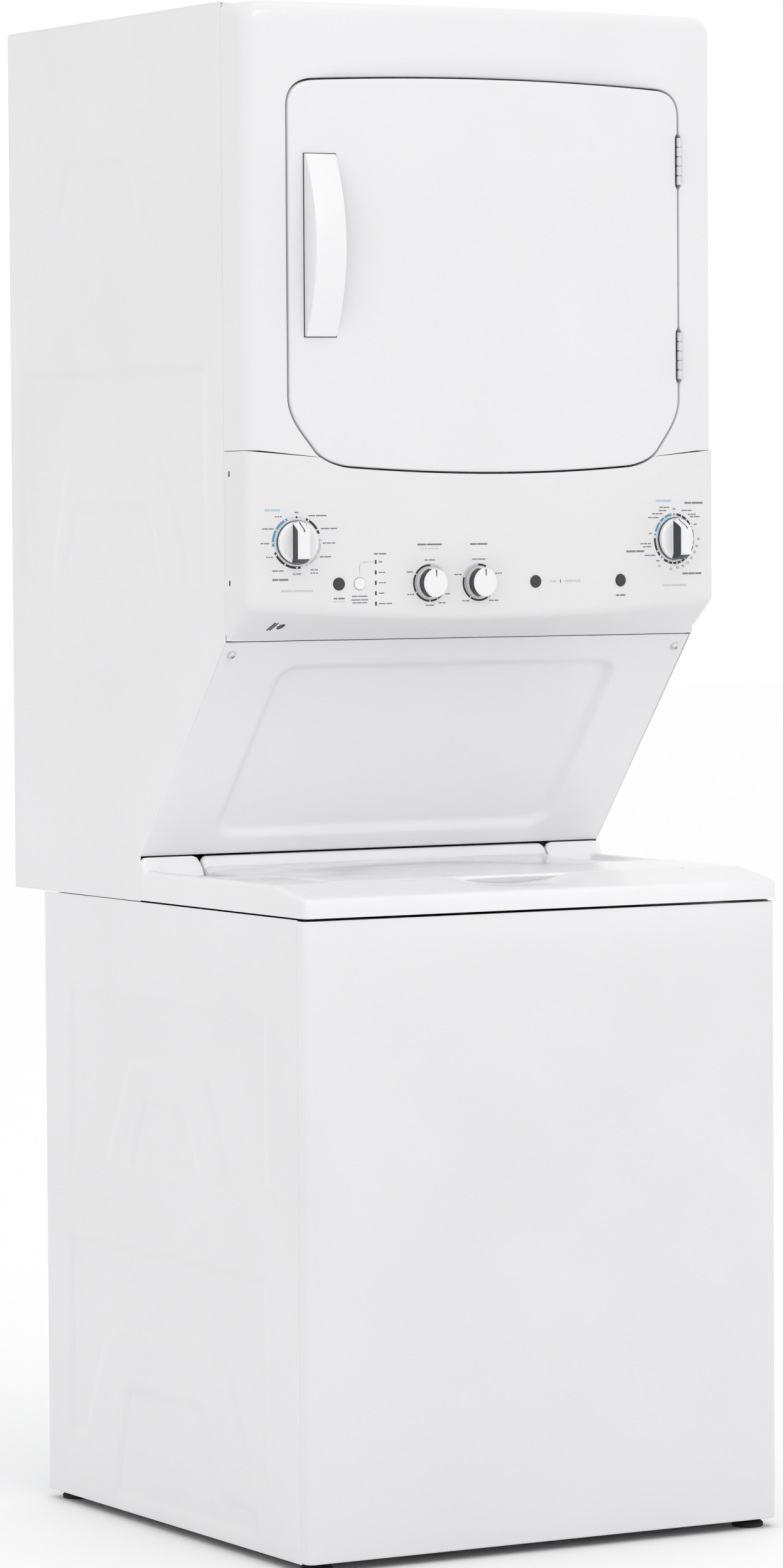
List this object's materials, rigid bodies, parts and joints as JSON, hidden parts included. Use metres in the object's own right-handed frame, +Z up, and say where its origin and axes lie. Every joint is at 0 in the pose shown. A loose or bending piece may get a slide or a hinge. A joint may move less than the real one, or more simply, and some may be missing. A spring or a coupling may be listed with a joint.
{
  "type": "stacked washer and dryer",
  "caption": "Stacked laundry centre: top-loading washer below, front-loading tumble dryer above on a sloping access panel, with dials and push buttons on one console.",
  "frame": {"origin": "centre of the footprint on the floor", "axes": "+Z up the height, -Y towards the user in front, +X to the right as seen from the front"},
  "size_m": [0.683, 0.8, 1.927],
  "materials": {
    "enamel_white": "gloss baked enamel",
    "white_plastic": "moulded, semi-gloss",
    "dark_plastic": "moulded, semi-gloss",
    "grey_plastic": "moulded, satin",
    "zinc_steel": "zinc-plated sheet",
    "stainless_steel": "bright",
    "screw_steel": "bright plated",
    "black_rubber": "matt",
    "motor_iron": "matt"
  },
  "bodies": {
    "root": {"washer_front_panel": "enamel_white", "washer_left_side": "enamel_white", "washer_right_side": "enamel_white", "washer_back_panel": "zinc_steel", "water_inlet_valve": "white_plastic", "washer_base_frame": "zinc_steel", "suspension_rod_front_left": "zinc_steel", "suspension_rod_front_right": "zinc_steel", "suspension_rod_rear_left": "zinc_steel", "suspension_rod_rear_right": "zinc_steel", "washer_top_cover": "enamel_white", "dryer_left_side": "enamel_white", "dryer_right_side": "enamel_white", "dryer_top_panel": "enamel_white", "dryer_back_panel": "zinc_steel", "dryer_floor": "zinc_steel", "access_panel": "enamel_white", "access_screw_left": "screw_steel", "access_screw_right": "screw_steel", "dryer_front_panel": "enamel_white", "control_console": "white_plastic", "washer_timer": "grey_plastic", "dryer_timer": "grey_plastic", "door_catch": "white_plastic", "upper_hinge_frame_leaf": "screw_steel", "lower_hinge_frame_leaf": "screw_steel", "front_bulkhead": "enamel_white", "lint_duct": "grey_plastic", "blower_housing": "grey_plastic", "dryer_motor": "motor_iron", "drum_belt": "black_rubber", "rear_bulkhead": "zinc_steel", "heater_housing": "zinc_steel", "exhaust_duct": "zinc_steel"},
    "dryer_door": {"dryer_door_panel": "enamel_white", "door_liner": "enamel_white", "door_seal": "grey_plastic", "door_handle": "white_plastic", "upper_hinge_door_leaf": "screw_steel", "lower_hinge_door_leaf": "screw_steel"},
    "washer_lid": {"washer_lid": "enamel_white"},
    "washer_cycle_knob": {"washer_cycle_knob": "white_plastic"},
    "dryer_cycle_knob": {"dryer_cycle_knob": "white_plastic"},
    "temperature_knob": {"temperature_knob": "white_plastic"},
    "load_size_knob": {"load_size_knob": "white_plastic"},
    "washer_start_button": {"washer_start_button": "dark_plastic"},
    "deep_rinse_button": {"deep_rinse_button": "white_plastic"},
    "dryer_start_button": {"dryer_start_button": "dark_plastic"},
    "drum": {"dryer_drum": "enamel_white"},
    "blower_wheel": {"blower_wheel": "grey_plastic"},
    "lint_filter": {"lint_filter": "white_plastic"},
    "tub": {"outer_tub": "grey_plastic", "washer_motor": "motor_iron"},
    "basket": {"wash_basket": "stainless_steel"},
    "agitator": {"agitator": "white_plastic", "drive_pulley": "motor_iron"},
    "foot_front_left": {"levelling_foot_front_left": "black_rubber"},
    "foot_front_right": {"levelling_foot_front_right": "black_rubber"},
    "foot_rear_left": {"levelling_foot_rear_left": "black_rubber"},
    "foot_rear_right": {"levelling_foot_rear_right": "black_rubber"}
  },
  "joints": [
    {"name": "dryer_door_hinge", "type": "hinge", "parent": "root", "child": "dryer_door", "pos_m": [0.2842, -0.2665, 1.61], "axis": [0, 0, 1], "range_deg": [0, 170]},
    {"name": "washer_lid_hinge", "type": "hinge", "parent": "root", "child": "washer_lid", "pos_m": [0, 0.03, 0.838], "axis": [-1, 0, 0], "range_deg": [0, 50]},
    {"name": "washer_cycle_knob_turn", "type": "hinge", "parent": "root", "child": "washer_cycle_knob", "pos_m": [-0.275, -0.26479, 1.26], "axis": [0.1171, 0.9931, 0], "continuous": true},
    {"name": "dryer_cycle_knob_turn", "type": "hinge", "parent": "root", "child": "dryer_cycle_knob", "pos_m": [0.275, -0.26479, 1.26], "axis": [-0.1171, 0.9931, 0], "continuous": true},
    {"name": "temperature_knob_turn", "type": "hinge", "parent": "root", "child": "temperature_knob", "pos_m": [-0.094, -0.27911, 1.208], "axis": [-0.0403, -0.9992, 0], "range_deg": [0, 240]},
    {"name": "load_size_knob_turn", "type": "hinge", "parent": "root", "child": "load_size_knob", "pos_m": [-0.024, -0.28088, 1.208], "axis": [0.0103, 0.9999, 0], "range_deg": [0, 290]},
    {"name": "washer_start_button_press", "type": "slide", "parent": "root", "child": "washer_start_button", "axis": [0.0935, 0.9956, 0], "range_m": [0, 0.0022], "stiffness_N_per_m": 600, "springref_m": -0.002},
    {"name": "deep_rinse_button_press", "type": "slide", "parent": "root", "child": "deep_rinse_button", "axis": [0.0816, 0.9967, 0], "range_m": [0, 0.0022], "stiffness_N_per_m": 600, "springref_m": -0.002},
    {"name": "dryer_start_button_press", "type": "slide", "parent": "root", "child": "dryer_start_button", "axis": [-0.0808, 0.9967, 0], "range_m": [0, 0.0022], "stiffness_N_per_m": 600, "springref_m": -0.002},
    {"name": "dryer_drum_spin", "type": "hinge", "parent": "root", "child": "drum", "pos_m": [0, 0.08, 1.6], "axis": [0, 1, 0], "continuous": true},
    {"name": "blower_wheel_spin", "type": "hinge", "parent": "root", "child": "blower_wheel", "pos_m": [-0.12, 0.08, 1.04], "axis": [0, 1, 0], "continuous": true},
    {"name": "lint_filter_pull", "type": "slide", "parent": "root", "child": "lint_filter", "axis": [0, 0, 1], "range_m": [0, 0.25]},
    {"name": "tub_suspension", "type": "slide", "parent": "root", "child": "tub", "axis": [0, 0, 1], "range_m": [-0.03, 0.015], "stiffness_N_per_m": 9000, "springref_m": 0.03},
    {"name": "wash_basket_spin", "type": "hinge", "parent": "tub", "child": "basket", "pos_m": [0, -0.042, 0.45], "axis": [0, 0, 1], "continuous": true},
    {"name": "agitator_spin", "type": "hinge", "parent": "tub", "child": "agitator", "pos_m": [0, -0.042, 0.45], "axis": [0, 0, 1], "continuous": true},
    {"name": "foot_front_left_adjust", "type": "slide", "parent": "root", "child": "foot_front_left", "axis": [0, 0, 1], "range_m": [-0.012, 0.003]},
    {"name": "foot_front_right_adjust", "type": "slide", "parent": "root", "child": "foot_front_right", "axis": [0, 0, 1], "range_m": [-0.012, 0.003]},
    {"name": "foot_rear_left_adjust", "type": "slide", "parent": "root", "child": "foot_rear_left", "axis": [0, 0, 1], "range_m": [-0.012, 0.003]},
    {"name": "foot_rear_right_adjust", "type": "slide", "parent": "root", "child": "foot_rear_right", "axis": [0, 0, 1], "range_m": [-0.012, 0.003]}
  ],
  "couplings": [
    {"joint": "blower_wheel_spin", "follows": "dryer_drum_spin", "ratio": 23.846}
  ]
}
